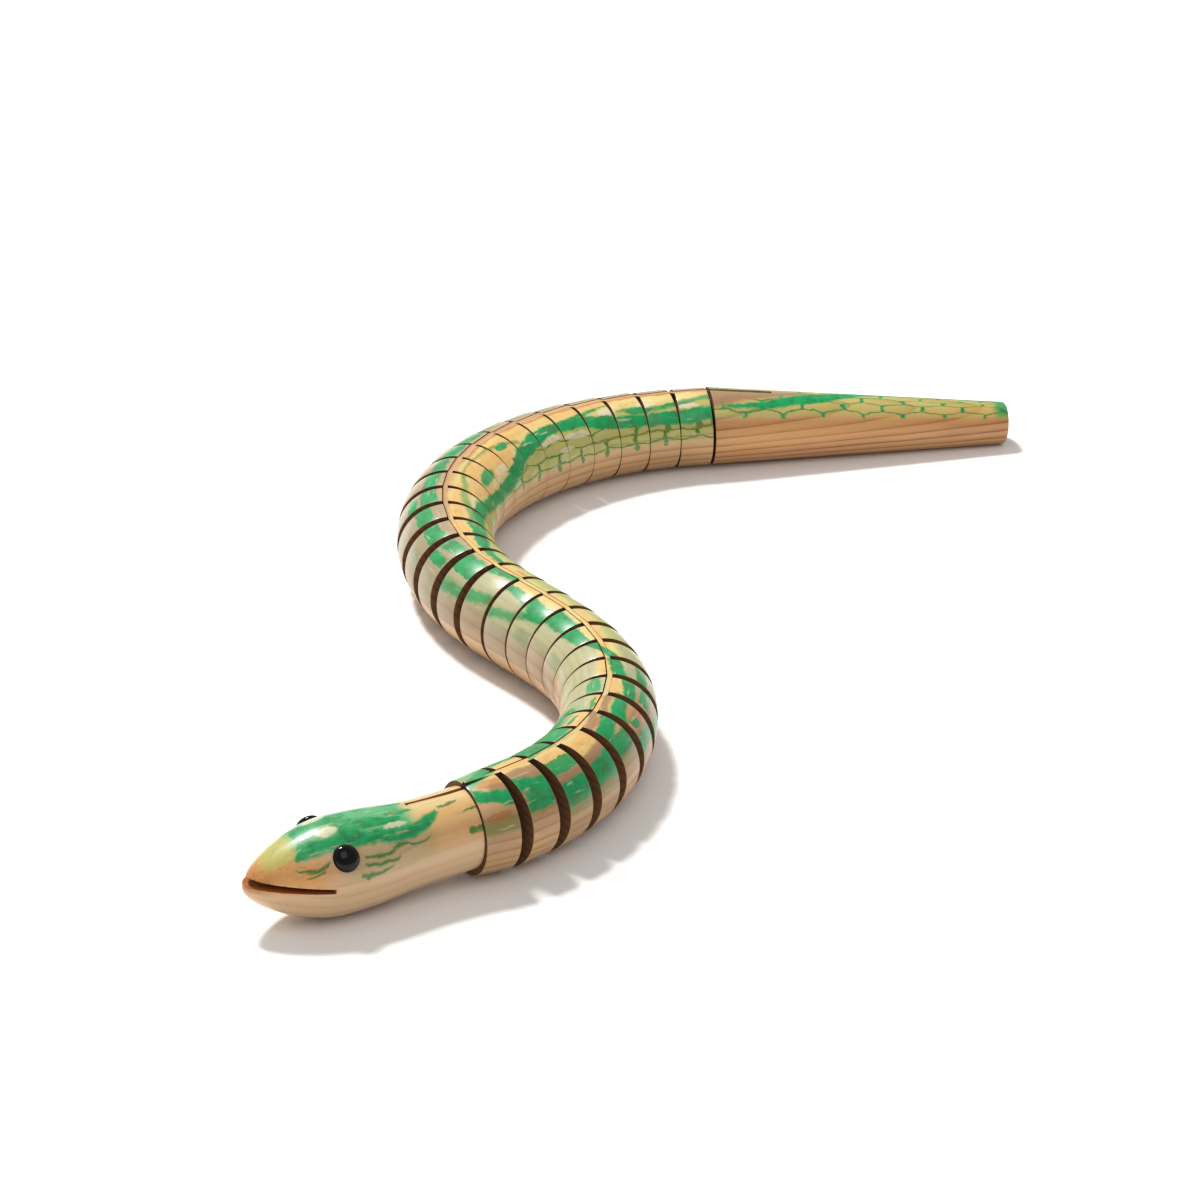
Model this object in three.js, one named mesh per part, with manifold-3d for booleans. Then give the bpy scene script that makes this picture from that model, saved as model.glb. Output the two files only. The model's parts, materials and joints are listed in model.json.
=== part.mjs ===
// A turned wooden snake that wiggles: a head, thirty body segments and a tail, threaded along one
// flexible strip. The body is sawn through from both sides down to the strip, so every segment is
// a left half and a right half glued to it, and the strip bends in the open cuts between them.
//
// Millimetres, +Z up. The snake lies on z = 0 in a soft S, with the origin under the middle of its
// bounding box. In each piece's own frame +X runs from head to tail, so +Y is the snake's right.
import * as THREE from "three";
import { mergeVertices } from "three/addons/utils/BufferGeometryUtils.js";
import Module from "manifold-3d";

const wasm = await Module();
wasm.setup();
const toRadians = THREE.MathUtils.degToRad;
const facets = 40; // around the head and the tail
const profileSteps = 9; // along each curve of the head's outline
const spare = 3; // turned pieces start this much too long and are sawn to length

// Body
const segmentCount = 30;
const pitch = 11.5; // from the middle of one saw cut to the middle of the next
const turnedRadii = [13.7, 13.4, 14.2, 12.0]; // at equal steps from the first segment to the last
const collarRadius = 12.8; // where the first segment narrows to meet the neck
const closedGap = 0.12; // what is left open at a cut's rim when it is bent as far as it goes
const arcSteps = 20; // flats on half a segment's round side
const buttGap = 0.3; // the glued joint between the head and the first segment

// Flexible strip
const stripThickness = 1.3;
const stripBottom = 3.0; // height of its lower edge over the floor
const stripBelowTop = 0.1; // how far its upper edge lies under the segments' tops
const stripGap = 0.15; // glue gap on each side of it
const stripEndGap = 1; // between its ends and the ends of the slots in the neck and the tail
const firstJoinedSegment = 26; // from here on the two halves share a bridge of wood under the strip
const bridgeGap = 0.4; // between the bridge and the strip's lower edge

// Head, measured from the body's first turning point, a little in front of its sawn back
const headLength = 63.5;
const seamAt = 1.2; // where the first segment butts against the head's back
const neckRadius = 11.2;
const neckLength = 6;
const neckLift = 1.1; // the neck curves up this much from the widest ring to the back
const headRadius = 13.2;
const widestAt = 38; // from the back to the widest ring
const noseFullness = 10; // how far the cheek runs on before it turns in
const noseRoundness = 5; // how blunt the tip is
const headOffset = 0.6; // the head sits a little to the snake's left of the strip
const neckSlotLength = 16;
const neckStripDepth = 0.9; // the strip's upper edge lies this far under the top of the neck
const mouthDepth = 20.5;
const mouthGap = 1.7;
const mouthDrop = 0.6; // the mouth's corners, below the head's axis
const mouthRise = 7.5; // degrees, up towards the nose

// Eyes: black beads pressed into round sockets
const eyeRadius = 3.5;
const eyeAt = 39; // from the head's back to the eye's centre
const eyeRise = 34; // degrees above level
const eyeSeat = 2.4; // depth of the bead's straight side in its socket
const eyeDome = 1.9; // how far the bead stands proud
const eyeGap = 0.15;
const eyeSink = 0.4; // the cheek's surface curves away this much across the bead
const eyeFacets = 28;
const domeSteps = 6;

// Tail: a cone lying on its side, sawn off flat at the tip
const tailLength = 94.5;
const tailRootRadius = 12.0;
const tailTipRadius = 6.5;
const tailEdge = 0.5; // rounding at the sawn tip
const tailSlotLength = 20;
const tailStripDepth = 3.5; // the strip's upper edge lies this far under the tail's root

// The S that the snake rests in: two runs of bends to opposite sides. A run is flat-topped: full
// bend around its middle, none at its ends. Joint 0 is the glued one behind the head, where the
// first segment is mitred instead. The last is in front of the tail.
const headHeading = 29.9; // degrees, from the nose towards the neck
const bendRuns = [
  { middle: 6.7, reach: 7.4, bend: 8.3, flatness: 10 },
  { middle: 21.6, reach: 11, bend: -7.4, flatness: 8 },
];
const tailBend = -1.3; // degrees at the last joint
const bendSlack = 0.25; // degrees that a joint at rest can still bend on
const leastLimit = 4.5; // degrees each way from straight, at the stiffest joint

const colours = {
  wood: 0xdcb98a,
  paintedWood: 0xb9b98a,
  segment: 0xc9b183,
  strip: 0xcaa868,
  bead: 0x0c0c10,
};

const slotWidth = stripThickness + 2 * stripGap;

function material(colour, roughness) {
  return new THREE.MeshStandardMaterial({ color: colour, roughness, metalness: 0 });
}

function namedMesh(name, geometry, colour, roughness = 0.35) {
  const mesh = new THREE.Mesh(geometry, material(colour, roughness));
  mesh.name = name;
  return mesh;
}

// The bend from straight at one joint while the snake lies at rest, in degrees.
function restBend(joint) {
  if (joint === segmentCount) return tailBend;
  return bendRuns.reduce((sum, run) => {
    const away = Math.min(Math.abs(joint - run.middle) / run.reach, 1);
    return sum + run.bend * (1 - away ** run.flatness);
  }, 0);
}

// How far a joint bends each way from straight, in degrees.
function bendLimit(joint) {
  return Math.max(leastLimit, Math.abs(restBend(joint)) + bendSlack);
}

// Every piece as a straight link: where its front joint is and where it points. The head's joint is
// at its sawn back, and the first segment shares it.
function layOut() {
  let heading = toRadians(headHeading);
  const front = new THREE.Vector3();
  const made = [{ front: front.clone(), heading }];
  for (let k = 0; k <= segmentCount; k += 1) {
    heading += toRadians(restBend(k));
    made.push({ front: front.clone(), heading });
    front.x += pitch * Math.cos(heading);
    front.y += pitch * Math.sin(heading);
  }
  return made;
}

const links = layOut(); // 0 is the head, 1 to 30 the segments, 31 the tail

const bodyOutline = new THREE.SplineCurve(turnedRadii.map((r, i) => new THREE.Vector2(i, r)));

function segmentRadius(segment) {
  return bodyOutline.getPoint((segment - 1) / (segmentCount - 1)).y;
}

// Half the width of a saw cut at the strip: its rims all but touch at the bend limit.
function halfCut(joint) {
  const rim = Math.max(...[joint, joint + 1].map((k) => segmentRadius(Math.min(k, segmentCount))));
  return rim * Math.tan(toRadians(bendLimit(joint) / 2)) + closedGap / 2;
}

// Where a segment starts: the first one butts against the head, the others follow a saw cut.
function segmentStart(segment) {
  return segment === 1 ? seamAt + buttGap / 2 : halfCut(segment - 1);
}

// A group at a link's front joint, turned to its heading.
function linkGroup(index) {
  const group = new THREE.Group();
  group.position.copy(links[index].front);
  group.rotation.z = links[index].heading;
  return group;
}

// Turns a geometry whose sections lie in XY, drawn along Z, to sections in YZ drawn along X.
function alongX(geometry) {
  const turn = new THREE.Matrix4().makeBasis(
    new THREE.Vector3(0, 1, 0),
    new THREE.Vector3(0, 0, 1),
    new THREE.Vector3(1, 0, 0),
  );
  return geometry.applyMatrix4(turn);
}

function solid(geometry) {
  const bare = geometry.clone();
  bare.deleteAttribute("normal");
  bare.deleteAttribute("uv");
  const merged = mergeVertices(bare, 1e-4);
  return new wasm.Manifold(
    new wasm.Mesh({
      numProp: 3,
      vertProperties: merged.attributes.position.array,
      triVerts: new Uint32Array(merged.index.array),
    }),
  );
}

function geometryOf(manifold) {
  const mesh = manifold.getMesh();
  return new THREE.BufferGeometry()
    .setAttribute("position", new THREE.BufferAttribute(mesh.vertProperties, 3))
    .setIndex(new THREE.BufferAttribute(mesh.triVerts, 1));
}

function block(x0, x1, width, height) {
  return new THREE.BoxGeometry(x1 - x0, width, height).translate((x0 + x1) / 2, 0, 0);
}

// A turned shape about the X axis, from a profile of (distance from the axis, place along X).
function turned(profile, facets) {
  return alongX(new THREE.LatheGeometry(profile, facets).rotateX(Math.PI / 2));
}

// Half of a segment: a D in section, flat against the strip. Side is 1 on the snake's right.
function halfSection(radius, side) {
  const flat = slotWidth / 2;
  const start = Math.acos(flat / radius);
  const outline = new THREE.Shape();
  for (let i = 0; i <= arcSteps; i += 1) {
    const angle = THREE.MathUtils.lerp(-start, start, i / arcSteps);
    outline[i ? "lineTo" : "moveTo"](side * radius * Math.cos(angle), radius * Math.sin(angle));
  }
  return outline;
}

// Both halves in one: a disc with a slot from the top down to the bridge.
function slottedSection(radius) {
  const flat = slotWidth / 2;
  const start = Math.PI / 2 + Math.asin(flat / radius);
  const sweep = 2 * (Math.PI - Math.asin(flat / radius));
  const floorOfSlot = stripBottom - bridgeGap - radius;
  const outline = new THREE.Shape();
  for (let i = 0; i <= 2 * arcSteps; i += 1) {
    const angle = start + (sweep * i) / (2 * arcSteps);
    outline[i ? "lineTo" : "moveTo"](radius * Math.cos(angle), radius * Math.sin(angle));
  }
  outline.lineTo(flat, floorOfSlot);
  outline.lineTo(-flat, floorOfSlot);
  return outline;
}

function slice(section, index) {
  const start = segmentStart(index);
  const depth = pitch - halfCut(index) - start;
  const geometry = alongX(new THREE.ExtrudeGeometry(section, { depth, bevelEnabled: false }));
  if (index === 1) shapeCollar(geometry, depth);
  return geometry.translate(start, 0, segmentRadius(index));
}

// The first slice narrows to the front, and its front face lies flat against the head's back.
function shapeCollar(geometry, depth) {
  const place = geometry.attributes.position;
  const slant = Math.tan(toRadians(restBend(0)));
  const narrowing = collarRadius / segmentRadius(1);
  for (let i = 0; i < place.count; i += 1) {
    if (place.getX(i) > depth / 2) continue;
    const across = place.getY(i);
    const inner = Math.abs(across) < slotWidth;
    const narrowed = inner ? across : across * narrowing;
    place.setXYZ(i, place.getX(i) + slant * narrowed, narrowed, place.getZ(i) * narrowing);
  }
}

function makeSegment(index) {
  const group = linkGroup(index);
  const radius = segmentRadius(index);
  const name = `segment_${String(index).padStart(2, "0")}`;
  if (index >= firstJoinedSegment) {
    group.add(namedMesh(name, slice(slottedSection(radius), index), colours.segment));
    return group;
  }
  for (const [word, side] of [["left", -1], ["right", 1]]) {
    const half = slice(halfSection(radius, side), index);
    group.add(namedMesh(`${name}_${word}`, half, colours.segment));
  }
  return group;
}

// The head's outline along -X to the nose, from a little behind its back, which is sawn later.
function headProfile() {
  const outline = new THREE.Path();
  outline.moveTo(0, seamAt + spare);
  outline.lineTo(neckRadius, seamAt + spare);
  outline.lineTo(neckRadius, -neckLength);
  const middle = (neckLength + widestAt) / 2;
  outline.bezierCurveTo(neckRadius, -middle, headRadius, -middle, headRadius, -widestAt);
  outline.bezierCurveTo(
    headRadius, -(widestAt + noseFullness), noseRoundness, -headLength, 0, -headLength,
  );
  return outline.getPoints(profileSteps);
}

// From the head's own axis to its place, resting on its widest ring, with the neck curved up.
function laidDown(geometry) {
  const place = geometry.attributes.position;
  for (let i = 0; i < place.count; i += 1) {
    const share = Math.max(1 + place.getX(i) / widestAt, 0);
    place.setZ(i, place.getZ(i) + neckLift * share ** 2);
  }
  return geometry.translate(0, -headOffset, headRadius);
}

// Places something on the head's side: +Z leaves the cheek, side is 1 on the snake's right.
function onCheek(geometry, side) {
  const tilt = toRadians(90 - eyeRise);
  return laidDown(geometry.clone().rotateX(-side * tilt).translate(-eyeAt, 0, 0));
}

function makeHead() {
  const group = linkGroup(0);
  const shape = laidDown(turned(headProfile().reverse(), facets));
  const waste = block(seamAt - buttGap / 2, seamAt + 2 * spare, 4 * headRadius, 8 * headRadius);
  const neckSlot = block(-neckSlotLength, seamAt + spare, slotWidth, 8 * headRadius);
  const mouth = block(-mouthDepth - spare, 0, 4 * headRadius, mouthGap)
    .rotateY(toRadians(mouthRise))
    .translate(mouthDepth - headLength, 0, -mouthDrop);
  laidDown(mouth);
  const cheek = headRadius - eyeSink;
  const socketRadius = eyeRadius + eyeGap;
  const socket = new THREE.CylinderGeometry(socketRadius, socketRadius, 2 * eyeSeat, eyeFacets)
    .rotateX(Math.PI / 2)
    .translate(0, 0, cheek);
  let head = [waste, neckSlot, mouth].reduce((left, cut) => left.subtract(solid(cut)), solid(shape));
  const bead = new THREE.LatheGeometry(beadProfile(), eyeFacets).rotateX(Math.PI / 2);
  bead.translate(0, 0, cheek - eyeSeat + 2 * eyeGap);
  for (const [name, side] of [["left_eye", -1], ["right_eye", 1]]) {
    head = head.subtract(solid(onCheek(socket, side)));
    group.add(namedMesh(name, onCheek(bead, side), colours.bead, 0.1));
  }
  group.add(namedMesh("head", geometryOf(head), colours.paintedWood));
  return group;
}

// A bead from its flat back up its straight side and over its domed front.
function beadProfile() {
  const profile = [new THREE.Vector2(0, 0), new THREE.Vector2(eyeRadius, 0)];
  for (let i = 0; i < domeSteps; i += 1) {
    const angle = (i / domeSteps) * (Math.PI / 2);
    const height = eyeSeat + eyeDome * Math.sin(angle);
    profile.push(new THREE.Vector2(eyeRadius * Math.cos(angle), height));
  }
  profile.push(new THREE.Vector2(0, eyeSeat + eyeDome));
  return profile;
}

function tailSlope() {
  return Math.asin((tailRootRadius - tailTipRadius) / tailLength);
}

// The tail starts a little long, is laid on its side, and is sawn off plumb at its root.
function makeTail() {
  const group = linkGroup(segmentCount + 1);
  const growth = Math.tan(tailSlope());
  const root = tailRootRadius + spare * growth;
  const profile = [
    new THREE.Vector2(0, -spare),
    new THREE.Vector2(root, -spare),
    new THREE.Vector2(tailTipRadius + tailEdge * growth, tailLength - tailEdge),
    new THREE.Vector2(tailTipRadius - tailEdge, tailLength),
    new THREE.Vector2(0, tailLength),
  ];
  const cone = turned(profile, facets)
    .rotateY(tailSlope())
    .translate(0, 0, tailRootRadius / Math.cos(tailSlope()));
  const waste = block(-4 * spare, halfCut(segmentCount), 4 * root, 8 * root);
  const slot = block(0, tailSlotLength, slotWidth, 8 * root);
  const tail = solid(cone).subtract(solid(waste)).subtract(solid(slot));
  group.add(namedMesh("tail", geometryOf(tail), colours.wood));
  return group;
}

// The strip's edges where it passes each cut: straight between the halves, turning in the cut.
function stripStations() {
  const stations = [];
  const at = (index, x, top) => stations.push({ link: links[index], x, top });
  const neckTop = headRadius + neckLift + neckRadius - neckStripDepth;
  const tailTop = 2 * tailRootRadius - tailStripDepth;
  at(0, stripEndGap - neckSlotLength, neckTop);
  at(0, seamAt - buttGap / 2, neckTop);
  for (let k = 1; k <= segmentCount; k += 1) {
    const top = 2 * segmentRadius(k) - stripBelowTop;
    at(k, segmentStart(k), top);
    at(k, pitch - halfCut(k), top);
  }
  at(segmentCount + 1, halfCut(segmentCount), tailTop);
  at(segmentCount + 1, tailSlotLength - stripEndGap, tailTop);
  return stations;
}

// A flat bar with one division per station, each division then moved to its station.
function makeStrip() {
  const stations = stripStations();
  const steps = stations.length - 1;
  const bar = new THREE.BoxGeometry(steps, stripThickness, 1, steps, 1, 1);
  const place = bar.attributes.position;
  for (let i = 0; i < place.count; i += 1) {
    const { link, x, top } = stations[Math.round(place.getX(i) + steps / 2)];
    const across = place.getY(i);
    const point = new THREE.Vector2(x, across).rotateAround(new THREE.Vector2(), link.heading);
    const height = place.getZ(i) > 0 ? top : stripBottom;
    place.setXYZ(i, link.front.x + point.x, link.front.y + point.y, height);
  }
  return namedMesh("spine_strip", bar, colours.strip, 0.6);
}

const snake = new THREE.Group();
snake.add(makeHead());
for (let k = 1; k <= segmentCount; k += 1) snake.add(makeSegment(k));
snake.add(makeTail(), makeStrip());

// The origin goes under the middle of the whole snake.
const box = new THREE.Box3().setFromObject(snake, true);
snake.position.set(-(box.min.x + box.max.x) / 2, -(box.min.y + box.max.y) / 2, -box.min.z);

// What turns about what, for anyone who poses the snake: a vertical hinge in every cut.
const part = new THREE.Group();
part.userData.hinges = links.slice(2).map(({ front }, i) => ({
  joint: i + 1,
  position: front.clone().add(snake.position),
  restBend: restBend(i + 1),
  bendLimit: bendLimit(i + 1),
}));
part.userData.tailEnd = {
  position: new THREE.Vector3(tailLength, 0, 0)
    .applyAxisAngle(new THREE.Vector3(0, 1, 0), tailSlope())
    .add(new THREE.Vector3(0, 0, tailRootRadius / Math.cos(tailSlope())))
    .applyAxisAngle(new THREE.Vector3(0, 0, 1), links.at(-1).heading)
    .add(links.at(-1).front)
    .add(snake.position),
  normal: new THREE.Vector3(1, 0, 0)
    .applyAxisAngle(new THREE.Vector3(0, 1, 0), tailSlope())
    .applyAxisAngle(new THREE.Vector3(0, 0, 1), links.at(-1).heading),
};
part.add(snake);

export default part;
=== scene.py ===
import json
import math
import bpy
from mathutils import Matrix, Vector
from mathutils.geometry import interpolate_bezier


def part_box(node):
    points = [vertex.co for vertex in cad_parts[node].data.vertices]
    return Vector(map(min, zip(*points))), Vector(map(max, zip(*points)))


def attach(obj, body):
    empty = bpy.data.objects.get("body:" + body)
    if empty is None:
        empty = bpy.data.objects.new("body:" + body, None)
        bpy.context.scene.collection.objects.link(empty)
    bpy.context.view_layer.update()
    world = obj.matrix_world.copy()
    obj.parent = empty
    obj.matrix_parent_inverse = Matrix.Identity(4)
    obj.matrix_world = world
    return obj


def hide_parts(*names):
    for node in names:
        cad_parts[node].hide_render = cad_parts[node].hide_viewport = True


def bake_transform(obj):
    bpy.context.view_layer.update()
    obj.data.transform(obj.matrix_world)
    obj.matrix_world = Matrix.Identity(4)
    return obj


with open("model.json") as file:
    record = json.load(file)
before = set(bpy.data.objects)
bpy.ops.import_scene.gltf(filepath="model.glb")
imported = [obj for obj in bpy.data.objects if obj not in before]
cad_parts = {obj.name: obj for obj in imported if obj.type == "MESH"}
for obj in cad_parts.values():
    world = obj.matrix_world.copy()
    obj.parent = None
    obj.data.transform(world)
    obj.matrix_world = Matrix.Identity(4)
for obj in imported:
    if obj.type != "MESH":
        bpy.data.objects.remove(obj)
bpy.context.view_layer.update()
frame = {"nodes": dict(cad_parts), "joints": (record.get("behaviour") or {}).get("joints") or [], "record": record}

mm = 0.001
joints = [Vector(joint["pos_m"]).to_2d() for joint in frame["joints"]]
cadNodes = frame["nodes"]


# Small helpers for modelling come first, then the places, the paints and the pieces.
def selectOnly(*things):
    bpy.ops.object.select_all(action="DESELECT")
    for thing in things:
        thing.select_set(True)
    bpy.context.view_layer.objects.active = things[0]


def startEditing(thing):
    selectOnly(thing)
    bpy.ops.object.mode_set(mode="EDIT")


def editAll(thing):
    startEditing(thing)
    bpy.ops.mesh.select_all(action="SELECT")


def stopEditing():
    bpy.ops.object.mode_set(mode="OBJECT")


def applyModifier(thing, kind, **settings):
    selectOnly(thing)
    modifier = thing.modifiers.new(kind.title(), kind)
    for key, value in settings.items():
        setattr(modifier, key, value)
    bpy.ops.object.modifier_apply(modifier=modifier.name)


def newPiece(name):
    made = bpy.context.view_layer.objects.active
    made.name = name
    made.data.name = name
    return made


def copyOf(thing, name):
    made = thing.copy()
    made.data = thing.data.copy()
    made.name = name
    made.data.name = name
    bpy.context.scene.collection.objects.link(made)
    return made


def throwAway(*things):
    for thing in things:
        bpy.data.objects.remove(thing)


# Saws a piece flat; what lies on the normal's side goes.
def sawOff(thing, point, normal):
    editAll(thing)
    bpy.ops.mesh.bisect(plane_co=point, plane_no=normal, use_fill=True, clear_outer=True)
    stopEditing()


# Scales the end of a cutter that lies in front of x, so that its cut opens like a wedge.
def flareEnd(thing, x, factor):
    for v in thing.data.vertices:
        v.select = v.co.x < x
    for part in list(thing.data.edges) + list(thing.data.polygons):
        part.select = all(thing.data.vertices[i].select for i in part.vertices)
    startEditing(thing)
    bpy.ops.transform.resize(value=(1, 1, factor), center_override=(x, 0, 0))
    stopEditing()


def cutAway(thing, *cutters):
    for cutter in cutters:
        applyModifier(thing, "BOOLEAN", operation="DIFFERENCE", object=cutter, solver="EXACT")
    throwAway(*cutters)


def softenEdges(thing, width, angle=38):
    applyModifier(
        thing, "BEVEL", width=width, segments=2, limit_method="ANGLE",
        angle_limit=math.radians(angle), use_clamp_overlap=True, profile=0.6,
    )


def smoothShade(thing, angle=32):
    selectOnly(thing)
    bpy.ops.object.shade_smooth_by_angle(angle=math.radians(angle))


leastRadius = 0.01 * mm  # a loop that is about to close
mergeWithin = 0.002 * mm


# A turned solid along X: each loop is extruded from the last and scaled, as on a lathe.
def turned(name, profile, sides):
    (x, radius), rest = profile[0], profile[1:]
    bpy.ops.object.select_all(action="DESELECT")
    bpy.ops.mesh.primitive_circle_add(
        vertices=sides, radius=radius, fill_type="NGON",
        location=(x, 0, 0), rotation=(0, math.pi / 2, 0),
    )
    made = newPiece(name)
    selectOnly(made)
    bpy.ops.object.transform_apply(location=True, rotation=True, scale=True)
    editAll(made)
    for nextX, nextRadius in rest:
        bpy.ops.mesh.extrude_region_move(
            TRANSFORM_OT_translate={"value": (nextX - x, 0, 0)},
        )
        scale = max(nextRadius, leastRadius) / radius
        bpy.ops.transform.resize(value=(1, scale, scale), center_override=(nextX, 0, 0))
        x, radius = nextX, max(nextRadius, leastRadius)
    if rest[-1][1] <= 0:
        bpy.ops.mesh.merge(type="CENTER")
    bpy.ops.mesh.select_all(action="SELECT")
    bpy.ops.mesh.remove_doubles(threshold=mergeWithin)
    bpy.ops.mesh.normals_make_consistent(inside=False)
    stopEditing()
    return made


def blockBetween(name, low, high):
    size = [b - a for a, b in zip(low, high)]
    middle = [(a + b) / 2 for a, b in zip(low, high)]
    bpy.ops.object.select_all(action="DESELECT")
    bpy.ops.mesh.primitive_cube_add(size=1, location=middle)
    made = newPiece(name)
    made.scale = size
    selectOnly(made)
    bpy.ops.object.transform_apply(location=True, rotation=True, scale=True)
    return made


# Every point keeps where it was on the straight, round snake: along, across, up from the axis.
# The grain and the paint follow this through all the pieces.
def keepPlace(thing, along=0.0):
    kept = thing.data.attributes.new("laid", "FLOAT_VECTOR", "POINT")
    kept.data.foreach_set("vector", [
        value for v in thing.data.vertices for value in (v.co.x + along, v.co.y, v.co.z)
    ])


# How near each point is to a sawn end, from 0 to 1: the paint is worn there.
def keepEdge(thing, ends, width):
    kept = thing.data.attributes.new("edge", "FLOAT", "POINT")
    kept.data.foreach_set("value", [
        max(0, 1 - min(abs(v.co.x - end) for end in ends) / width) for v in thing.data.vertices
    ])


# Faces that a saw left get the second material.
def markSawn(thing, isSawn):
    for face in thing.data.polygons:
        face.material_index = 1 if isSawn(face) else 0


# A straight part of the snake: the point it starts at, on the floor, and its heading.
class Link:
    def __init__(self, front, heading):
        self.front = front
        self.heading = heading
        self.along = Vector((math.cos(heading), math.sin(heading)))
        self.across = Vector((-math.sin(heading), math.cos(heading)))

    def matrix(self, height=0.0):
        return Matrix.Translation((*self.front, height)) @ Matrix.Rotation(self.heading, 4, "Z")

    # A section of the strip on this link: its place, the way across, its top, its length on the snake.
    def station(self, along, top, laidAt):
        return self.front + self.along * along, self.across, top, laidAt


def headingOf(a, b):
    return math.atan2(b.y - a.y, b.x - a.x)


def middleOf(node):
    places = [v.co for v in cadNodes[node].data.vertices]
    return sum(places, Vector()) / len(places)


body = {
    "count": 30,
    "closedGap": 0.12 * mm,
    "buttGap": 0.3 * mm,
    "stripSlot": 1.6 * mm,
    "collarRadius": 12.8 * mm,
    "sides": 96,
    "rim": 0.32 * mm,
    "spare": 3 * mm,
    "firstJoined": 26,  # from here on both halves are one node
}
head = {
    "length": 63.5 * mm,
    "seamAt": 1.2 * mm,
    "neckRadius": 11.2 * mm,
    "neckLength": 6 * mm,
    "neckLift": 1.1 * mm,
    "radius": 13.2 * mm,
    "widestAt": 38 * mm,
    "neckSpare": (4, 2, 0, -3),
    "cheekSteps": 14,
    "noseSteps": 26,
    "noseFullness": 10 * mm,
    "noseRoundness": 5 * mm,
    "offset": 0.6 * mm,
    "slotLength": 16 * mm,
    "slotSpare": 8 * mm,
    "cutterReach": 20 * mm,
    "mouthDepth": 20.5 * mm,
    "mouthGap": 1.3 * mm,
    "mouthSpare": 5 * mm,
    "mouthFlare": 1.8,
    "mouthRise": 7.5,
    "mouthDrop": 0.6 * mm,
    "eyeRadius": 3.5 * mm,
    "eyeAt": 39 * mm,
    "eyeRise": 34,
    "eyeSeat": 2.4 * mm,
    "eyeDome": 1.9 * mm,
    "eyeGap": 0.15 * mm,
    "eyeSink": 0.4 * mm,
    "socketSpare": 5 * mm,
    "domeSteps": 10,
    "eyeSides": 48,
    "socketSides": 64,
    "rim": 0.22 * mm,
    "sides": 96,
}
tail = {
    "length": 94.5 * mm,
    "rootRadius": 12.0 * mm,
    "tipRadius": 6.5 * mm,
    "slotLength": 20 * mm,
    "slotSpare": 5 * mm,
    "cutterReach": 30 * mm,
    "tipRound": 0.9 * mm,
    "flankSteps": 12,
    "tipSteps": 5,
    "rim": 0.3 * mm,
    "sides": 96,
}
strip = {
    "thickness": 1.3 * mm,
    "bottom": 3.0 * mm,
    "belowTop": 0.1 * mm,
    "endGap": 1 * mm,
    "neckDepth": 0.9 * mm,
    "tailDepth": 3.5 * mm,
    "bendSteps": 8,
    "toTheLeft": 0.13 * mm,
}

eyeLine = (middleOf("right_eye") - middleOf("left_eye")).to_2d()
headHeading = math.atan2(-eyeLine.x, eyeLine.y)
headLink = Link(Vector((0, 0)), headHeading)
eyeMiddle = ((middleOf("right_eye") + middleOf("left_eye")) / 2).to_2d()
backAt = max(v.co.to_2d().dot(headLink.along) for v in cadNodes["head"].data.vertices)
headLink.front = (
    headLink.along * (backAt - head["seamAt"] + body["buttGap"] / 2)
    + headLink.across * (eyeMiddle.dot(headLink.across) + head["offset"])
)
fronts = [headLink.front, headLink.front] + joints
tailEnd = Vector(frame["record"]["mounts"][0]["pos_m"]).to_2d()
links = [headLink]
for index in range(1, body["count"] + 2):
    following = fronts[index + 1] if index <= body["count"] else tailEnd
    links.append(Link(fronts[index], headingOf(fronts[index], following)))
pitch = (joints[1] - joints[0]).length


def segmentNode(index, side="left"):
    name = f"segment_{index:02d}"
    return name if index >= body["firstJoined"] else f"{name}_{side}"


def segmentRadius(index):
    low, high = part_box(segmentNode(index))
    return (low.z + high.z) / 2


# Half the saw cut at a joint: it closes on the inner side when the joint is at its limit.
def halfCut(joint):
    low, high = frame["joints"][joint - 1]["range_deg"]
    radius = max(segmentRadius(joint), segmentRadius(joint + 1) if joint < body["count"] else 0)
    return radius * math.tan(math.radians(high - low) / 4) + body["closedGap"] / 2


def bodyOf(index):
    if index <= 1:
        return "head"
    return "tail" if index > body["count"] else f"segment_{index:02d}"


print("places: pitch", round(pitch / mm, 3), "head heading", round(math.degrees(headHeading), 2),
      "first", round((links[2].front - links[1].front).length / mm, 3))


def addNode(tree, kind, inputs=None, **settings):
    made = tree.nodes.new(kind)
    for key, value in settings.items():
        setattr(made, key, value)
    for key, value in (inputs or {}).items():
        socket = made.inputs[key]
        if isinstance(value, bpy.types.NodeSocket):
            tree.links.new(value, socket)
        else:
            socket.default_value = value
    return made


def calc(tree, operation, a, b=0.0, c=0.0, clamp=False):
    made = addNode(tree, "ShaderNodeMath", {0: a, 1: b, 2: c}, operation=operation)
    made.use_clamp = clamp
    return made.outputs[0]


# 0 below low, 1 above high, smooth between; low and high may be the other way round.
def ease(tree, value, low, high):
    made = addNode(
        tree, "ShaderNodeMapRange", {"Value": value, "From Min": low, "From Max": high},
        interpolation_type="SMOOTHSTEP",
    )
    return made.outputs["Result"]


def bandMask(tree, value, low, high, soft):
    rise = ease(tree, value, low - soft, low + soft)
    fall = ease(tree, value, high + soft, high - soft)
    return calc(tree, "MULTIPLY", rise, fall)


def lineMask(tree, distance, halfWidth, soft):
    outer = calc(tree, "ADD", halfWidth, soft)
    inner = calc(tree, "SUBTRACT", halfWidth, soft)
    return ease(tree, distance, outer, inner)


def mixColour(tree, factor, a, b):
    return addNode(tree, "ShaderNodeMix", {0: factor, 6: a, 7: b}, data_type="RGBA").outputs[2]


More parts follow.
